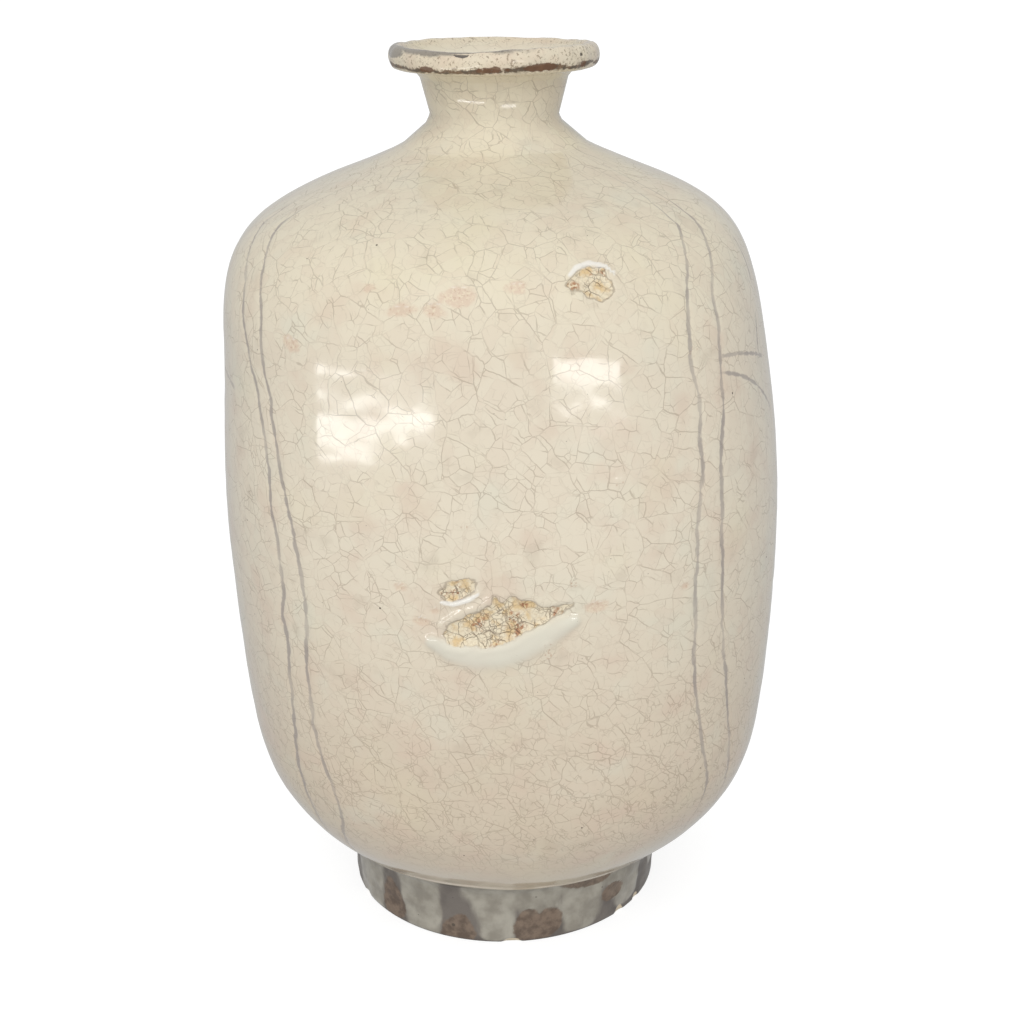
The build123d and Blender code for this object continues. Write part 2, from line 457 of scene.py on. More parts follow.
fade_top = 1 - smooth(heights, skin_high - 9.0, skin_high - 2.0)
paddled = 0.12 * waves(smooth_skin, 52.0, seed=51) + 0.030 * waves(smooth_skin, 19.0, seed=52)
thrown = waves(smooth_skin * np.array([0.12, 0.12, 1.0]), 6.5, seed=53)
lumps = 0.010 * waves(smooth_skin, 6.0, seed=54) + 0.004 * waves(smooth_skin, 2.8, seed=55)
lift = (paddled + 0.014 * thrown) * fade_top + lumps
for line in (first_line, second_line):
    lift += 0.05 * hump(abs(line) - 1.5, 0.8) - LINE_GROOVE * hump(line, LINE_WIDTH)
lift += ROLL_HEIGHT * roll + 0.30 * overhang + 0.20 * hump(scar - 0.9, 0.8) + 0.34 * crescent
lift -= 0.10 * (1 - smooth(scuff, -0.6, 0.4))
lift = np.clip(lift, DEEPEST + SCAR_DEPTH, None)
lift = lift - SCAR_DEPTH * (1 - smooth(scar, -0.7, 0.25)) + 0.30 * blister

# The rolled lower edge: a soft bead, then the skin turns under to the clay.
BEAD = 0.42
above_edge = heights - edge_rise[None, :] * follow[:, None] - skin_low
lift += BEAD * hump(above_edge - 1.1, 1.0) - 0.5 * (1 - smooth(above_edge, 0.0, 0.7))

outside = smooth_skin + normals * lift[..., None]

# ---- the hidden back of the skin, against the clay ----
BACK_INSET = 0.7
BACK_ROWS = 24
back_pick = np.round(np.linspace(len(row_heights) - 1, 0, BACK_ROWS)).astype(int)
tuck = outside[-1:] + np.array([0.0, 0.0, TUCK])
behind = (smooth_skin - normals * BACK_INSET)[back_pick]
skin_points = np.concatenate([outside, tuck, behind])


def with_back(values, beyond):
    """A field over the whole skin: its outside, then one plain value on the hidden back."""
    rest = np.full((len(skin_points) - len(values), len(angles)), float(beyond))
    return np.concatenate([values, rest])


skin_fields = {
    "first_line": with_back(first_line, FAR),
    "second_line": with_back(second_line, FAR),
    "scar": with_back(np.clip(scar, -FAR, FAR), FAR),
    "scuff": with_back(np.clip(scuff, -FAR, FAR), FAR),
    "roll": with_back(np.maximum(roll, hump(above_edge - 1.0, 0.9) * 0.4), 0.0),
    "crescent": with_back(crescent, 0.0),
    "blister": with_back(np.clip(blister, -1, 1), 0.0),
}
for slot in range(STROKE_SLOTS):
    across_stroke, past_ends = stroke_fields(slot)
    skin_fields[f"stroke_{slot}"] = with_back(across_stroke, FAR)
    skin_fields[f"stroke_end_{slot}"] = with_back(past_ends, FAR)

glaze_skin = ring_mesh("glaze_skin", skin_points, skin_fields)


# ---- the lip and the throat ----
# A rolled rim on a short flare, then down into the throat. The roll is an oval whose outside and
# top are the CAD lip's; the throat's radii are read from the CAD throat.
ROLL_HALF_WIDTH = 2.15
ROLL_HALF_HEIGHT = 3.0        # a little deeper than the CAD lip's, as the glaze sags under the roll
LIP_COLUMNS = 330
lip_box = [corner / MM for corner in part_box("mouth_glaze")]
roll_radius = lip_box[1].x - ROLL_HALF_WIDTH
roll_height = lip_box[1].z - ROLL_HALF_HEIGHT
mouth_tree = tree_of("mouth_glaze")
RIM_START, RIM_END = -58, 138 # degrees round the roll, between the flare and the throat
THROAT_FOOT = lip_box[0].z + 0.3


def throat_radius(height):
    """Radius of the throat's open side at one height."""
    return mouth_tree.ray_cast(Vector((0.0, 0.0, height * MM)), Vector((1.0, 0.0, 0.0)))[3] / MM


def on_roll(turned):
    """A point of the roll's oval; 0 degrees faces outwards and 90 up."""
    a = radians(turned)
    return roll_radius + ROLL_HALF_WIDTH * cos(a), roll_height + ROLL_HALF_HEIGHT * sin(a)


def evenly(path, spacing):
    """Points a given spacing apart along a path of (radius, height) points."""
    path = np.array(path)
    lengths = np.concatenate([[0.0], np.cumsum(np.hypot(*np.diff(path, axis=0).T))])
    at = np.linspace(0.0, lengths[-1], int(lengths[-1] / spacing) + 2)
    return np.stack([np.interp(at, lengths, path[:, 0]), np.interp(at, lengths, path[:, 1])], 1)


neck_radius = {h: float(along_heights(mean_radius, np.array(skin_high - h))) for h in (2.9, 1.5)}
flare = [
    (neck_radius[2.9] - 0.25, skin_high - 2.9), (neck_radius[1.5] + 0.10, skin_high - 1.5),
    (20.4, skin_high - 0.45), (22.8, skin_high - 0.15), (24.8, skin_high + 0.10),
]
rim = [on_roll(turned) for turned in np.arange(RIM_START, RIM_END, 4)]
funnel = [(throat_radius(h), h) for h in np.arange(rim[-1][1] - 0.3, THROAT_FOOT, -0.5)]
lip_path = evenly(flare + rim + funnel, 0.42)
lip_normals = np.gradient(lip_path, axis=0)
lip_normals = unit(np.stack([lip_normals[:, 1], -lip_normals[:, 0]], 1))
lip_angles = 2 * pi * np.arange(LIP_COLUMNS) / LIP_COLUMNS
lip_out = np.stack([np.cos(lip_angles), np.sin(lip_angles), 0 * lip_angles], -1)
UP = np.array([0.0, 0.0, 1.0])


def turned_about_axis(path):
    """The (radius, height) path swept round the axis, as a grid of points."""
    return path[:, 0, None, None] * lip_out[None] + path[:, 1, None, None] * UP


lip_smooth = turned_about_axis(lip_path)
lip_direction = turned_about_axis(lip_normals)
round_roll = np.degrees(np.arctan2(lip_path[:, 1] - roll_height, lip_path[:, 0] - roll_radius))
on_rim = smooth(lip_path[:, 1:], roll_height - 3.4, roll_height - 1.2) * smooth(lip_path[:, :1], 21.6, 24.0)
around_lip = np.degrees(lip_angles)[None, :]


def lip_spot(at, turned, half_width, half_height):
    """An oval on the roll, 1 in its middle and 0 outside: its angles about the axis and the roll."""
    across = radians(1.0) * turn(around_lip - at) * roll_radius / half_width
    over = radians(1.0) * (round_roll[:, None] - turned) * ROLL_HALF_HEIGHT / half_height
    return 1 - smooth(np.hypot(across, over), 0.5, 1.1)


# Where clay shows rusty under the roll: (angle, half width). The rest of the band is thinner.
RUST_PATCHES = ((272.0, 4.4), (299.0, 5.6), (236.0, 2.6), (330.0, 2.2), (20.0, 5.0), (96.0, 4.4), (160.0, 5.5))
PIT = (326.5, 24.0)           # a small burst bubble on the roll
pit = lip_spot(*PIT, 0.75, 0.75)
rust = np.maximum.reduce([lip_spot(at, -34.0, half_width, 1.4) for at, half_width in RUST_PATCHES])
rust = np.clip(rust + 0.22 * waves(lip_smooth, 3.0, seed=69) * (rust > 0), 0.0, 1.0)
band_height = -44.0 + 7.0 * waves(lip_smooth, 16.0, seed=65) + 4.0 * waves(lip_smooth, 4.0, seed=66)
band = hump(round_roll[:, None] - band_height, 20.0 + 6.0 * waves(lip_smooth, 9.0, seed=67)) * on_rim
# Painted shade: a dark line along the roll's inner top edge, strongest on the front-left side, and a dark patch
# on the roll's top at the left.
shaded_side = 0.2 + 0.8 * smooth(-abs(turn(around_lip - 225.0)), -85.0, -35.0)
inner_edge_shade = hump(round_roll[:, None] - 80.0 - 9.0 * waves(lip_smooth, 12.0, seed=68), 25.0) * shaded_side * on_rim
inner_edge_shade = np.maximum(inner_edge_shade, lip_spot(200.0, 45.0, 8.0, 2.6))
lip_lift = on_rim * (0.13 * waves(lip_smooth, 17.0, seed=61) + 0.06 * waves(lip_smooth, 6.0, seed=62))
lip_lift = lip_lift + 0.012 * waves(lip_smooth, 2.6, seed=63) - 0.10 * rust
lip_lift = np.clip(lip_lift, -0.38, 0.5) - 0.45 * pit + 0.10 * lip_spot(*PIT, 1.5, 1.5)
lip_sway = 0.28 * waves(lip_out * 24.0, 44.0, seed=64)[None, :] * on_rim
lip_outside = lip_smooth + lip_direction * lip_lift[..., None] + lip_sway[..., None] * UP
LIP_BACK_ROWS = 36
lip_back_pick = np.round(np.linspace(len(lip_path) - 1, 0, LIP_BACK_ROWS)).astype(int)
lip_behind = (lip_smooth - 0.4 * lip_direction)[lip_back_pick]
lip_points = np.concatenate([lip_outside, lip_behind])


def with_lip_back(values):
    return np.concatenate([values, values[lip_back_pick]])


# Painted light: the throat is coloured paler, as though lit down inside.
rows_to_go = len(lip_path) - np.arange(len(lip_path))[:, None]
painted_light_throat = smooth(-rows_to_go, -1.5 * len(funnel), -len(funnel))
lip_fields = {
    "rim": with_lip_back(on_rim + 0 * band),
    "band": with_lip_back(band),
    "rust": with_lip_back(rust),
    "inner_edge_shade": with_lip_back(inner_edge_shade),
    "pit": with_lip_back(pit),
    "inside": with_lip_back(painted_light_throat + 0 * band),
}
lip_skin = ring_mesh("lip_and_throat_skin", lip_points, lip_fields)

# ---- the foot ----
FOOT_COLUMNS = 360
FOOT_WORN = 0.9               # rounding of the resting face's edges
BARE_TOP = 0.35               # the foot's clay runs on up under the glaze's edge
foot_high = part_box("foot_ring")[1] / MM
foot_radius = outside_radius(tree_of("foot_ring"), 0.0, 0.0, 2.0)
foot_top_radius = foot_high.x + 0.6
recess_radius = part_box("base_floor")[1].x / MM
recess_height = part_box("base_floor")[0].z / MM
under_glaze = float(along_heights(mean_radius, np.array(skin_low))) - 0.9
foot_path = evenly(
    [(recess_radius, recess_height + 3.0), (recess_radius, FOOT_WORN)]
    + [(recess_radius + FOOT_WORN * (1 - cos(a)), FOOT_WORN * (1 - sin(a))) for a in np.linspace(0, pi / 2, 6)]
    + [(foot_radius - FOOT_WORN * (1 - cos(a)), FOOT_WORN * (1 - sin(a))) for a in np.linspace(pi / 2, 0, 6)]
    + [(foot_top_radius, foot_high.z - 1.2), (foot_top_radius + 0.8, foot_high.z + 0.4)]
    + [(under_glaze, skin_low + BARE_TOP), (under_glaze - 2.0, skin_low + BARE_TOP)]
    + [(foot_top_radius - 3.0, foot_high.z - 1.0), (recess_radius + 1.0, foot_high.z - 2.0)],
    0.62,
)
foot_angles = 2 * pi * np.arange(FOOT_COLUMNS) / FOOT_COLUMNS
foot_out = np.stack([np.cos(foot_angles), np.sin(foot_angles), 0 * foot_angles], -1)
foot_smooth = foot_path[:, 0, None, None] * foot_out[None] + foot_path[:, 1, None, None] * UP
foot_height = foot_path[:, 1, None]
outer_side = smooth(foot_path[:, 0, None], recess_radius + 4.0, foot_radius - 1.0)
off_floor = smooth(foot_height, 0.0, 1.6)
foot_lift = 0.16 * waves(foot_smooth, 24.0, seed=71) + 0.07 * waves(foot_smooth, 7.0, seed=72)
foot_lift *= outer_side * off_floor
foot_lift += 0.05 * off_floor * waves(foot_smooth * np.array([0.15, 0.15, 1.0]), 4.0, seed=73)
# Chips knocked off the resting edge: (angle, half width in degrees, height, depth)
CHIPS = ((275.0, 3.9, 1.9, 0.6), (320.0, 2.7, 3.0, 0.45), (331.0, 2.2, 2.6, 0.4), (208.0, 3.0, 1.6, 0.4),
         (148.0, 5.0, 2.0, 0.6), (82.0, 3.2, 2.2, 0.6), (30.0, 2.4, 1.6, 0.5))
chip = np.zeros(foot_lift.shape)
for at, reach, rise, depth in CHIPS:
    away = turn(np.degrees(foot_angles)[None, :] - at) / reach
    chip = np.maximum(chip, (1 - smooth(np.hypot(away, foot_height / rise), 0.6, 1.05)) * outer_side)
    foot_lift = foot_lift - depth * (1 - smooth(np.hypot(away, foot_height / rise), 0.5, 1.1)) * outer_side
foot_points = foot_smooth + foot_out[None] * foot_lift[..., None]
foot_points[..., 2] = np.maximum(foot_points[..., 2], 0.0)
# Brown clay that the splashes of glaze left bare: (angle, height, half width in degrees, half height)
BARE_PATCHES = ((280.9, 5.2, 5.6, 6.4), (289.0, 5.6, 5.2, 6.0), (284.6, 2.0, 6.5, 5.0), (227.0, 5.0, 5.6, 9.0),
                (314.6, 9.6, 5.0, 2.8), (256.0, 2.0, 7.0, 6.5), (304.0, 17.0, 10.0, 2.6), (18.0, 6.0, 8.0, 5.0),
                (76.0, 4.0, 9.0, 7.0), (121.0, 9.0, 7.0, 5.0), (166.0, 4.0, 10.0, 6.0))
around_foot = np.degrees(foot_angles)[None, :]
uneven = 0.10 * waves(foot_smooth, 8.0, seed=74)
bare_patch = np.zeros(foot_lift.shape)
for at, height, reach, rise in BARE_PATCHES:
    size = np.hypot(turn(around_foot - at) / reach, (foot_height - height) / rise) + uneven
    bare_patch = np.maximum(bare_patch, (1 - smooth(size, 0.8, 1.1)) * outer_side)
# Milky glaze that ran down over the foot: (angle, half width in degrees, height of its lower end)
RUNS = ((213.0, 8.5, 1.0), (237.5, 6.0, 7.0), (241.5, 6.5, 1.5), (269.3, 7.5, 3.0), (284.0, 10.0, 11.5),
        (300.5, 7.5, 3.0), (323.0, 8.0, 5.0), (346.0, 6.0, 9.0), (2.0, 5.0, 3.0), (32.0, 9.0, 6.0),
        (52.0, 4.0, 2.5), (97.0, 8.0, 4.0), (118.0, 3.0, 11.0), (142.0, 9.0, 3.0), (186.0, 7.0, 5.0))
run = np.zeros(foot_lift.shape)
for at, reach, low in RUNS:
    below = np.maximum(low - foot_height, 0.0) / 3.0
    size = np.hypot(turn(around_foot - at) / (reach * (1.0 + 0.03 * (foot_height - low))), below) + uneven
    run = np.maximum(run, (1 - smooth(size, 0.6, 1.3)) * outer_side)
foot_fields = {"chip": chip, "outer_side": outer_side + 0 * chip, "bare_patch": bare_patch, "run": run}
foot_skin = ring_mesh("foot_ring_thrown", foot_points, foot_fields)


# ---- materials ----
def linear(red, green, blue):
    """A display colour, 0 to 255 a channel, as the linear colour that nodes take."""
    channels = [c / 255 for c in (red, green, blue)]
    return tuple(c / 12.92 if c <= 0.04045 else ((c + 0.055) / 1.055) ** 2.4 for c in channels) + (1.0,)


class Nodes:
    """Adds nodes to one material. Each method gives back the new node's output."""

    def __init__(self, name):
        self.material = bpy.data.materials.new(name)
        self.material.use_nodes = True
        self.tree = self.material.node_tree
        self.shader = self.tree.nodes["Principled BSDF"]
        coordinates = self.node("ShaderNodeTexCoord", {})
        self.place, self.facing = coordinates.outputs["Object"], coordinates.outputs["Normal"]

    def node(self, kind, inputs, **settings):
        made = self.tree.nodes.new(kind)
        for setting, value in settings.items():
            setattr(made, setting, value)
        for socket, value in inputs.items():
            self.feed(made.inputs[socket], value)
        return made

    def feed(self, socket, value):
        if isinstance(value, bpy.types.NodeSocket):
            self.tree.links.new(value, socket)
        else:
            socket.default_value = value

    def finish(self, **inputs):
        for socket, value in inputs.items():
            self.feed(self.shader.inputs[socket.replace("_", " ")], value)
        return self.material

    def field(self, name):
        return self.node("ShaderNodeAttribute", {}, attribute_name=name).outputs["Fac"]

    def math(self, operation, first, second=0.0):
        return self.node("ShaderNodeMath", {0: first, 1: second}, operation=operation).outputs[0]

    def times(self, first, second):
        return self.math("MULTIPLY", first, second)

    def plus(self, first, second):
        return self.math("ADD", first, second)

    def most(self, first, second):
        return self.math("MAXIMUM", first, second)

    def without(self, value, mask):
        """The value where the mask is 0, nothing where it is 1."""
        return self.times(value, self.math("SUBTRACT", 1.0, mask))

    def step(self, value, low, high, bottom=0.0, top=1.0):
        inputs = {"Value": value, "From Min": low, "From Max": high, "To Min": bottom, "To Max": top}
        return self.node("ShaderNodeMapRange", inputs, interpolation_type="SMOOTHSTEP").outputs["Result"]

    def mix(self, share, first, second):
        inputs = {"Factor": share, "A": first, "B": second}
        made = self.tree.nodes.new("ShaderNodeMix")
        made.data_type = "RGBA"
        colour_sockets = {"Factor": 0, "A": 6, "B": 7}
        for socket, value in inputs.items():
            self.feed(made.inputs[colour_sockets[socket]], value)
        return made.outputs[2]

    def height(self):
        return self.node("ShaderNodeSeparateXYZ", {0: self.place}).outputs["Z"]

    def vector(self, operation, first, second=(0.0, 0.0, 0.0)):
        return self.node("ShaderNodeVectorMath", {0: first, 1: second}, operation=operation).outputs[0]

    def shifted(self, vector, by):
        return self.vector("ADD", vector, by)

    def steps_along(self, length):
        """Two short steps along the surface: a level one, and one square to it."""
        level = self.vector("NORMALIZE", self.vector("CROSS_PRODUCT", self.place, (0.0, 0.0, 1.0)))
        climbing = self.vector("NORMALIZE", self.vector("CROSS_PRODUCT", level, self.facing))
        by = (length * MM,) * 3
        return self.vector("MULTIPLY", level, by), self.vector("MULTIPLY", climbing, by)

    def noise(self, size, detail=2.0, roughness=0.5, vector=None, offset=0.0):
        """Noise from 0 to 1 with features about size millimetres across."""
        where = self.shifted(self.place if vector is None else vector, (offset, offset * 0.7, 0.0))
        inputs = {"Vector": where, "Scale": 1 / (size * MM), "Detail": detail, "Roughness": roughness}
        return self.node("ShaderNodeTexNoise", inputs).outputs["Fac"]

    def patches(self, size, detail, offset, low, high, bottom=0.0, top=1.0):
        """Soft-edged patches of noise: bottom where the noise is below low, top where above high."""
        return self.step(self.noise(size, detail, offset=offset), low, high, bottom, top)

    def swing(self, amount, size, detail, roughness=0.5, offset=0.0):
        """Noise either side of 0: half the amount each way."""
        return self.times(self.plus(self.noise(size, detail, roughness, offset=offset), -0.5), amount)

    def wandering(self, size, amount, offset=0.0):
        """The place, pushed about by noise: amount millimetres, features about size across."""
        where = self.shifted(self.place, (offset, 0.0, offset))
        inputs = {"Vector": where, "Scale": 1 / (size * MM), "Detail": 1.0}
        push = self.node("ShaderNodeTexNoise", inputs).outputs["Color"]
        centred = self.shifted(push, (-0.5, -0.5, -0.5))
        scaled = self.node("ShaderNodeVectorMath", {0: centred, "Scale": 2 * amount * MM}, operation="SCALE")
        return scaled.outputs[0]

    def specks(self, cell, size, share, offset=0.0):
        """Small round dots: one in some of the cells. share is how many cells hold one."""
        inputs = {"Vector": self.shifted(self.place, (offset, offset, 0.0)), "Scale": 1 / (cell * MM)}
        spots = self.node("ShaderNodeTexVoronoi", inputs)
        chance = self.node("ShaderNodeSeparateColor", {0: spots.outputs["Color"]})
        kept = self.step(chance.outputs["Red"], 1 - share, 1 - 0.8 * share)
        radius = self.step(chance.outputs["Green"], 0.0, 1.0, 0.4 * size / cell, size / cell)
        dot = self.step(self.math("DIVIDE", spots.outputs["Distance"], radius), 0.6, 1.0, 1.0, 0.0)
        return self.times(dot, kept)

    def bump(self, height, depth, under=None):
        """Tilts the surface by a height field; depth is millimetres at a height of 1."""
        inputs = {"Height": height, "Strength": 1.0, "Distance": depth * MM}
        if under is not None:
            inputs["Normal"] = under
        return self.node("ShaderNodeBump", inputs).outputs["Normal"]


CREAM = linear(222, 212, 192)
# warmer and darker low down: the glaze's own tone, and painted shade
WARM_AND_SHADED = linear(202, 187, 165)
PINK = linear(208, 185, 166)
STRAW = linear(222, 213, 184)
CELADON = linear(213, 211, 193)
# crack lines and dusky patches, and painted shadow along the scar's edge
CRACK_AND_SHADE = linear(128, 110, 90)
LINE = linear(138, 130, 128)
THICK = linear(218, 215, 200)
# thicker glaze on the crescents, partly a painted highlight
PALE_AND_HIGHLIGHT = linear(238, 236, 230)
CRUST = linear(226, 214, 188)
OCHRE = linear(216, 190, 146)
RUST = linear(164, 112, 78)
BROWN = linear(92, 70, 54)
BLUSH = linear(212, 190, 168)
SPECK = linear(58, 48, 38)
# painted shade along the rim's inner edge
SHADE_GREY = linear(112, 108, 102)
GRIT = linear(204, 186, 158)
# painted light for the throat
IVORY_PAINTED_LIGHT = linear(232, 228, 214)
PEPPER = linear(120, 102, 80)
BARK = linear(78, 64, 50), linear(112, 86, 62)
UMBER = linear(84, 56, 40), linear(120, 86, 60)
CLAY = linear(92, 85, 79), linear(112, 105, 98)
BARE_CLAY = linear(92, 76, 63), linear(126, 108, 92)
MILKY = linear(140, 134, 122), linear(172, 167, 154)
# for the lowest millimetre of the foot
LOWEST_CLAY = linear(92, 84, 78)
CHIPPED = linear(216, 200, 172)
CLAY_SPECK = linear(66, 60, 52)


# The crazing comes in three generations: (cell size, least and most strength).
CRAZING = ((8.5, 0.12, 0.66), (4.0, 0.08, 0.60), (2.2, 0.0, 0.60))
HAIR = 0.20                   # width of a crack in mm


def nested_cells(n, where, sizes):
    """Random colour of the cell at a place, for each generation. Each generation of cells starts
    afresh inside each cell of the one before, so its borders end on theirs."""
    colours = []
    for size in sizes:
        cells = n.node("ShaderNodeTexVoronoi", {"Vector": where, "Scale": 1 / (size * MM)})
        colours.append(cells.outputs["Color"])
        where = n.shifted(where, cells.outputs["Color"])
    return colours


def hairlines(n, where, sizes, width):
    """Thin lines of one width between cells, for each generation: a place is on a line if the cell
    a hair above it, or a hair to its side, is another one. Also gives the cells' random colours."""
    here = nested_cells(n, where, sizes)
    beside, above = (nested_cells(n, n.shifted(where, step), sizes) for step in n.steps_along(width))
    lines = []
    for colour, *others in zip(here, beside, above):
        gaps = [n.node("ShaderNodeVectorMath", {0: colour, 1: other}, operation="DISTANCE") for other in others]
        gap = n.plus(*(each.outputs["Value"] for each in gaps))
        lines.append(n.math("GREATER_THAN", gap, 0.001))
    return lines, here


def crackle(n, zone):
    """Fine crazing, 1 on a line, and a random tone for each cell. Lines come and go; the smallest
    show most where zone is 1, and all are faint right above the foot."""
    where = n.shifted(n.place, n.shifted(n.wandering(6.0, 1.1), n.wandering(1.5, 0.20, offset=3.0)))
    lines = 0.0
    found, cells = hairlines(n, where, [size for size, _, _ in CRAZING], HAIR)
    for generation, (line, (size, least, most)) in enumerate(zip(found, CRAZING)):
        coming = n.step(n.noise(size * 1.1, 2.0, offset=1.0 + generation), 0.42, 0.62, least, most)
        if generation == 2:
            coming = n.times(coming, n.step(zone, 0.0, 1.0, 0.35, 1.0))
        lines = n.most(lines, n.times(line, coming))
    tone = n.node("ShaderNodeSeparateColor", {0: cells[1]}).outputs["Red"]
    return n.times(lines, n.step(n.height(), 0.026, 0.052, 0.2, 1.0)), tone


def glaze_colour(n, lines, tone):
    """The cream glaze's colour with its crackle: warmer and darker low down, the darkening a painted shade, and
    straw-coloured at the shoulder.
    """
    z = n.height()
    # painted shade: warmer and darker towards the bottom, where less light falls on the body
    low = n.step(z, 0.045, 0.135, 1.0, 0.0)
    top = n.step(z, 0.165, 0.205)
    cloud = n.noise(26.0, 3.0, offset=5.0)
    colour = n.mix(n.times(low, n.step(cloud, 0.2, 0.8, 0.6, 1.0)), CREAM, WARM_AND_SHADED)
    colour = n.mix(n.patches(12.0, 3.0, 6.0, 0.50, 0.72, 0.0, 0.42), colour, PINK)
    colour = n.mix(n.times(n.plus(top, n.step(cloud, 0.52, 0.75)), 0.36), colour, STRAW)
    colour = n.mix(n.patches(15.0, 3.0, 7.0, 0.52, 0.74, 0.0, 0.42), colour, CELADON)
    colour = n.mix(n.times(n.step(tone, 0.3, 1.0), 0.14), colour, PINK)
    dusky = n.patches(7.0, 3.0, 8.5, 0.58, 0.78, 0.0, 0.14)
    colour = n.mix(dusky, colour, CRACK_AND_SHADE)
    return n.mix(lines, colour, CRACK_AND_SHADE)


def stroke_mask(n, across, past, half_width, loss):
    """1 on a stroke: near its middle line and between its ends, broken up by the loss field."""
    side = n.step(n.plus(n.math("ABSOLUTE", across), loss), half_width * 0.45, half_width, 1.0, 0.0)
    return n.times(side, n.step(past, -2.0, 1.0, 1.0, 0.0)) if past is not None else side


def body_glaze():
    n = Nodes("cream_crackle_glaze")
    z = n.height()
    loss = n.patches(2.4, 3.0, 8.0, 0.35, 0.8, 0.0, 0.5)
    faint = n.patches(16.0, 3.0, 9.0, 0.32, 0.62, 0.45, 1.0)
    drawn = n.most(
        stroke_mask(n, n.field("first_line"), None, 0.95, loss),
        stroke_mask(n, n.field("second_line"), None, 0.95, loss),
    )
    for slot in range(STROKE_SLOTS):
        stroke = stroke_mask(n, n.field(f"stroke_{slot}"), n.field(f"stroke_end_{slot}"), 0.8, loss)
        drawn = n.most(drawn, stroke)
    thick = n.step(n.field("roll"), 0.0, 0.95)
    ragged = n.swing(1.1, 1.6, 3.0, offset=10.0)
    edge = n.plus(n.field("scar"), ragged)
    bare = n.step(edge, -0.3, 0.12, 1.0, 0.0)
    zone = n.step(n.plus(n.times(n.noise(30.0, offset=11.0), 0.09), z), 0.095, 0.165, 1.0, 0.0)
    lines, tone = crackle(n, zone)
    lines = n.without(n.times(lines, 0.58), thick)
    colour = glaze_colour(n, lines, tone)
    colour = n.mix(n.times(drawn, n.times(faint, 0.70)), colour, LINE)
    colour = n.mix(n.times(thick, 0.75), colour, THICK)

    grains = n.step(n.noise(0.8, 3.0, 0.6, offset=20.0), 0.50, 0.62)
    worn = n.step(n.plus(n.field("scuff"), n.times(ragged, 1.3)), -0.5, 0.6, 1.0, 0.0)
    blush = n.mix(n.times(grains, 0.6), BLUSH, CRUST)
    blush = n.mix(n.patches(0.6, 2.0, 21.0, 0.58, 0.68, 0.0, 0.40), blush, RUST)
    colour = n.mix(n.times(worn, 0.80), colour, blush)

    scar_where = n.shifted(n.place, n.wandering(1.4, 0.5, offset=12.0))
    (wide, narrow), _ = hairlines(n, scar_where, (3.0, 1.3), 0.17)
    split = n.times(wide, n.step(n.noise(3.0, offset=22.0), 0.36, 0.56, 0.15, 1.0))
    split = n.most(split, n.times(narrow, n.step(n.noise(4.0, offset=23.0), 0.42, 0.62, 0.1, 0.7)))
    crust = n.mix(n.patches(3.0, 3.0, 13.0, 0.46, 0.66), CRUST, OCHRE)
    crust = n.mix(n.times(grains, 0.4), crust, GRIT)
    rusty = n.times(n.patches(5.0, 2.0, 14.0, 0.50, 0.64), n.step(n.noise(0.8, 3.0), 0.46, 0.60))
    crust = n.mix(n.times(rusty, 0.85), crust, RUST)
    crust = n.mix(n.times(split, 0.66), crust, BROWN)
    colour = n.mix(bare, colour, crust)
    # painted shadow: a dark line along the scar's edge, where the glaze overhangs
    rim_shadow = n.times(n.step(n.math("ABSOLUTE", edge), 0.05, 0.32, 1.0, 0.0), n.without(0.45, thick))
    colour = n.mix(rim_shadow, colour, CRACK_AND_SHADE)
    # the crescents: thicker glaze, coloured near white partly as a painted highlight
    colour = n.mix(n.times(n.step(n.field("crescent"), 0.25, 0.9), 0.75), colour, PALE_AND_HIGHLIGHT)

    dots = n.most(n.specks(6.0, 0.34, 0.36), n.times(n.specks(2.4, 0.15, 0.36, offset=1.0), 0.75))
    blistered = n.times(n.step(n.math("ABSOLUTE", n.field("blister")), 0.4, 0.9), grains)
    colour = n.mix(n.times(dots, 0.85), colour, SPECK)
    colour = n.mix(n.times(blistered, 0.5), colour, RUST)

    relief = n.plus(n.times(n.noise(3.0, 2.0, offset=16.0), 0.5), n.times(n.noise(0.8, 2.0, offset=17.0), 0.06))
    normal = n.bump(relief, 0.03)
    normal = n.bump(n.math("SUBTRACT", 1.0, n.plus(n.times(lines, 0.4), n.plus(dots, drawn))), 0.04, normal)
    normal = n.bump(n.times(bare, n.math("SUBTRACT", n.noise(0.7, 3.0, offset=18.0), split)), 0.14, normal)
    rough = n.plus(n.patches(9.0, 3.0, 19.0, 0.3, 0.7, 0.09, 0.14), n.times(lines, 0.15))
    rough = n.plus(rough, n.plus(n.times(bare, 0.5), n.plus(n.times(drawn, 0.12), n.times(worn, 0.12))))
    n.shader.inputs["Coat Roughness"].default_value = 0.06
    n.shader.inputs["Specular IOR Level"].default_value = 0.5
    return n.finish(Base_Color=colour, Roughness=rough, Normal=normal, Coat_Weight=n.without(0.3, bare))


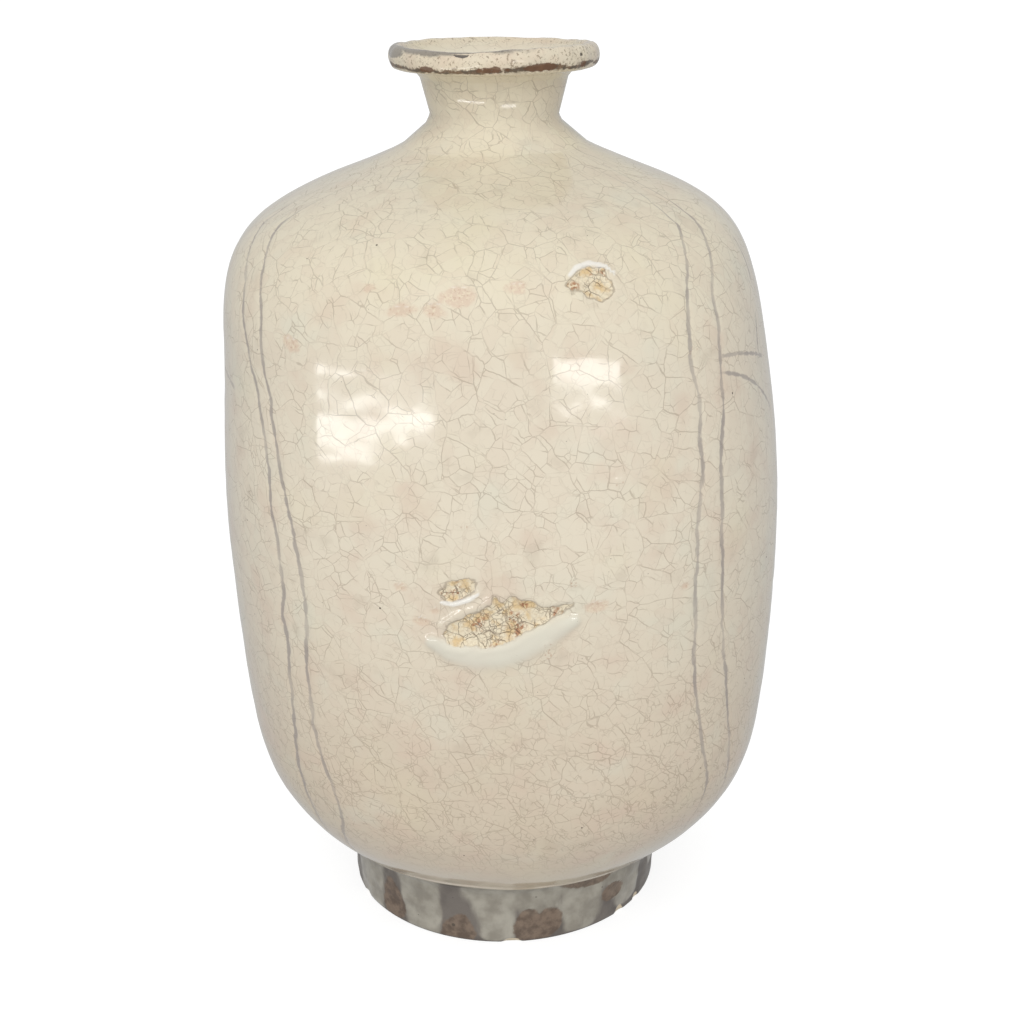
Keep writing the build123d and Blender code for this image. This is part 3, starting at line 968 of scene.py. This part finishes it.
def lip_glaze():
    """Cream glaze, thin on the rim: painted shade along its inner edge, brown and rusty under the roll."""
    n = Nodes("rim_and_throat_glaze")
    rim = n.field("rim")
    ripple = n.swing(1.3, 1.2, 3.0, 0.6, offset=2.5)
    under = n.step(n.plus(n.field("band"), ripple), 0.42, 0.66)
    near_band = n.step(n.field("band"), 0.0, 0.6)
    inner = n.step(n.plus(n.field("inner_edge_shade"), n.times(ripple, 0.5)), 0.25, 0.75)
    lines, tone = crackle(n, 0.2)
    lines = n.times(lines, n.step(rim, 0.0, 1.0, 0.45, 0.2))
    colour = glaze_colour(n, lines, tone)
    colour = n.mix(n.times(rim, n.patches(9.0, 2.0, 3.5, 0.4, 0.7, 0.1, 0.5)), colour, BLUSH)
    # painted light down the throat
    colour = n.mix(n.times(n.field("inside"), 0.75), colour, IVORY_PAINTED_LIGHT)
    pepper = n.step(n.plus(n.noise(0.7, 3.0, 0.6, offset=4.5), n.times(near_band, 0.15)), 0.54, 0.66)
    colour = n.mix(n.times(pepper, n.times(rim, 0.65)), colour, PEPPER)
    # painted shade along the rim's inner edge
    colour = n.mix(n.times(inner, 0.75), colour, SHADE_GREY)
    bark = n.mix(n.patches(2.2, 3.0, 5.5, 0.46, 0.62), *BARK)
    colour = n.mix(n.times(under, 0.88), colour, bark)
    rusty = n.step(n.plus(n.field("rust"), n.times(ripple, 0.9)), 0.40, 0.75)
    colour = n.mix(n.times(rusty, 0.9), colour, n.mix(n.noise(2.0, 3.0), *UMBER))
    small_dots = n.times(n.specks(1.4, 0.14, 0.35, offset=1.0), n.step(rim, 0, 1, 0.3, 1))
    dots = n.most(n.specks(3.2, 0.34, 0.40), small_dots)
    colour = n.mix(n.times(n.most(dots, n.step(n.field("pit"), 0.3, 0.8)), 0.88), colour, SPECK)
    relief = n.bump(n.noise(1.6, 3.0, offset=6.5), 0.06)
    relief = n.bump(n.math("SUBTRACT", 1.0, n.plus(dots, n.times(lines, 0.3))), 0.05, relief)
    rough = n.plus(n.patches(5.0, 2.0, 7.5, 0.3, 0.7, 0.14, 0.24), n.times(n.plus(under, rusty), 0.16))
    n.shader.inputs["Coat Roughness"].default_value = 0.08
    return n.finish(Base_Color=colour, Roughness=rough, Normal=relief, Coat_Weight=n.without(0.3, under))


def foot_clay(name, splashed):
    """Grey-brown stoneware; on the foot's outside, pale glaze has splashed and run down over it."""
    n = Nodes(name)
    tall = n.vector("MULTIPLY", n.place, (1.0, 1.0, 0.34))
    cloud = n.noise(8.0, 3.0, offset=1.2)
    colour = n.mix(n.step(cloud, 0.35, 0.65), *CLAY)
    rough, coat = 0.62, 0.0
    relief = n.bump(n.noise(0.9, 4.0, 0.6, offset=3.2), 0.08)
    if splashed:
        outer = n.field("outer_side")
        streak = n.times(n.plus(n.noise(4.0, 4.0, 0.6, vector=tall, offset=4.2), -0.5), 1.5)
        splash = n.step(n.plus(n.field("run"), streak), 0.15, 0.95)
        milky = n.mix(n.patches(5.0, 3.0, 5.2, 0.3, 0.7), *MILKY)
        colour = n.mix(n.times(splash, 0.88), colour, milky)
        bare = n.step(n.plus(n.field("bare_patch"), n.swing(1.4, 1.8, 4.0, 0.6)), 0.2, 0.85)
        brown = n.mix(n.step(n.noise(3.0, 4.0, 0.6, offset=6.2), 0.35, 0.65), *BARE_CLAY)
        colour = n.mix(n.times(bare, 0.88), colour, brown)
        # darker along the lowest millimetre of the foot
        lowest_band = n.step(n.height(), 0.0004, 0.0012, 1.0, 0.0)
        colour = n.mix(n.times(lowest_band, 0.6), colour, LOWEST_CLAY)
        colour = n.mix(n.times(n.step(n.field("chip"), 0.35, 0.65), 0.9), colour, CHIPPED)
        relief = n.bump(n.without(splash, bare), 0.12, relief)
        rough = n.step(n.without(splash, bare), 0.0, 1.0, 0.5, 0.28)
        coat = n.times(n.without(outer, bare), 0.2)
        n.shader.inputs["Coat Roughness"].default_value = 0.15
    dots = n.most(n.specks(6.0, 0.7, 0.22), n.specks(2.6, 0.25, 0.3, offset=1.0))
    colour = n.mix(n.times(dots, 0.75), colour, CLAY_SPECK)
    return n.finish(Base_Color=colour, Roughness=rough, Normal=relief, Coat_Weight=coat)


def inside_glaze():
    n = Nodes("inner_glaze_skin")
    lines, tone = crackle(n, 0.3)
    colour = glaze_colour(n, n.times(lines, 0.6), tone)
    relief = n.bump(n.noise(5.0, 2.0, offset=1.1), 0.15)
    rough = n.step(n.noise(8.0, 2.0), 0.3, 0.7, 0.16, 0.3)
    return n.finish(Base_Color=colour, Roughness=rough, Normal=relief)


def give(obj, material):
    """Puts a material in every slot of an object."""
    if not obj.data.materials:
        obj.data.materials.append(material)
    for slot in obj.material_slots:
        slot.material = material


give(glaze_skin, body_glaze())
give(lip_skin, lip_glaze())
give(foot_skin, foot_clay("splashed_foot_clay", splashed=True))
bare_clay = foot_clay("bare_stoneware", splashed=False)
for node in ("base_floor", "body_wall", "neck_collar", "rolled_lip"):
    give(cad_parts[node], bare_clay)
give(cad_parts["inner_glaze"], inside_glaze())

for piece, node, slot in (
    (glaze_skin, "outer_glaze", "cream_glaze"),
    (lip_skin, "mouth_glaze", "mouth_glaze"),
    (foot_skin, "foot_ring", "foot_clay"),
):
    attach(piece, "root")
    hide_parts(node)


# ---- floor, lights and camera ----
WHITE = (1.0, 1.0, 1.0, 1.0)
PAPER_GLOW = 0.82
ROOM_BRIGHTNESS = 0.53        # what lights the bottle from all round; the camera sees white


def floor_plane(half_size):
    """Pale paper under the bottle. It glows a little, as paper lit from all sides, so that it stays
    pale, and it throws no light back up."""
    shape = bmesh.new()
    bmesh.ops.create_grid(shape, x_segments=8, y_segments=8, size=half_size)
    mesh = bpy.data.meshes.new("studio_floor")
    shape.to_mesh(mesh)
    floor = bpy.data.objects.new("studio_floor", mesh)
    bpy.context.scene.collection.objects.link(floor)
    floor.visible_diffuse = floor.visible_glossy = False
    n = Nodes("pale_paper")
    paper = n.mix(n.noise(400.0), (0.27, 0.27, 0.27, 1.0), (0.29, 0.29, 0.29, 1.0))
    n.shader.inputs["Emission Color"].default_value = WHITE
    n.shader.inputs["Emission Strength"].default_value = PAPER_GLOW
    n.shader.inputs["Specular IOR Level"].default_value = 0.0
    give(floor, n.finish(Base_Color=paper, Roughness=0.9))


def from_azimuth(azimuth, elevation):
    """Direction from the bottle to a light: azimuth from the front towards +X."""
    a, e = radians(azimuth), radians(elevation)
    return Vector((sin(a) * cos(e), -cos(a) * cos(e), sin(e)))


def softbox(name, azimuth, elevation, distance, width, height, roll, radiance, target):
    """A rectangular soft light that faces the target; roll lifts its right end, in degrees."""
    light = bpy.data.lights.new(name, "AREA")
    light.shape = "RECTANGLE"
    light.size, light.size_y = width, height
    light.energy = radiance * pi * width * height
    lamp = bpy.data.objects.new(name, light)
    lamp.location = target + distance * from_azimuth(azimuth, elevation)
    level = (target - lamp.location).to_track_quat("-Z", "Y").to_matrix()
    lamp.rotation_euler = (level @ Matrix.Rotation(radians(roll), 3, "Z")).to_euler()
    lamp.visible_camera = False
    bpy.context.scene.collection.objects.link(lamp)


def broad_light(name, azimuth, elevation, strength):
    """A very wide, even light that shades the form and leaves no reflection."""
    light = bpy.data.lights.new(name, "SUN")
    light.angle = radians(50.0)
    light.energy = strength * pi
    lamp = bpy.data.objects.new(name, light)
    lamp.rotation_euler = (-from_azimuth(azimuth, elevation)).to_track_quat("-Z", "Y").to_euler()
    lamp.visible_glossy = False
    bpy.context.scene.collection.objects.link(lamp)


floor_plane(8.0)
highlight = Vector((0.0, 0.0, 0.165))
softbox("left_strip", -36.0, -6.0, 1.0, 0.86, 0.055, 3.5, 7.5, highlight)
softbox("right_strip", 26.0, 1.5, 1.0, 0.44, 0.090, 0.0, 6.4, highlight)
broad_light("front_sun", 2.0, 40.0, 0.50)
broad_light("back_sun", 195.0, 40.0, 0.16)

# White paper all round for the camera, and a dimmer room for the bottle.
world = bpy.data.worlds.new("studio")
world.use_nodes = True
room = world.node_tree
background = room.nodes["Background"]
background.inputs["Color"].default_value = WHITE
seen = room.nodes.new("ShaderNodeLightPath")
strength = room.nodes.new("ShaderNodeMapRange")
strength.inputs["To Min"].default_value = ROOM_BRIGHTNESS
strength.inputs["To Max"].default_value = 1.0
room.links.new(seen.outputs["Is Camera Ray"], strength.inputs["Value"])
room.links.new(strength.outputs["Result"], background.inputs["Strength"])
bpy.context.scene.world = world
bpy.context.scene.view_settings.view_transform = "Standard"

CAMERA_AZIMUTH = 3.0          # degrees from the front, towards +X
CAMERA_DISTANCE = 0.430       # level distance from the axis
CAMERA_HEIGHT = 0.2706
CAMERA_YAW = 0.44             # degrees it looks to the right of the axis
CAMERA_PITCH = 20.2           # degrees it looks down
CAMERA_ROLL = -0.66
camera = bpy.data.objects.new("camera", bpy.data.cameras.new("camera"))
camera.data.lens = 57.0
around = radians(CAMERA_AZIMUTH)
camera.location = (CAMERA_DISTANCE * sin(around), -CAMERA_DISTANCE * cos(around), CAMERA_HEIGHT)
yaw = Matrix.Rotation(around - radians(CAMERA_YAW), 3, "Z")
pitch = Matrix.Rotation(radians(90 - CAMERA_PITCH), 3, "X")
camera.rotation_euler = (yaw @ pitch @ Matrix.Rotation(radians(CAMERA_ROLL), 3, "Z")).to_euler()
camera.data.clip_start = 0.01
bpy.context.scene.collection.objects.link(camera)
bpy.context.scene.camera = camera
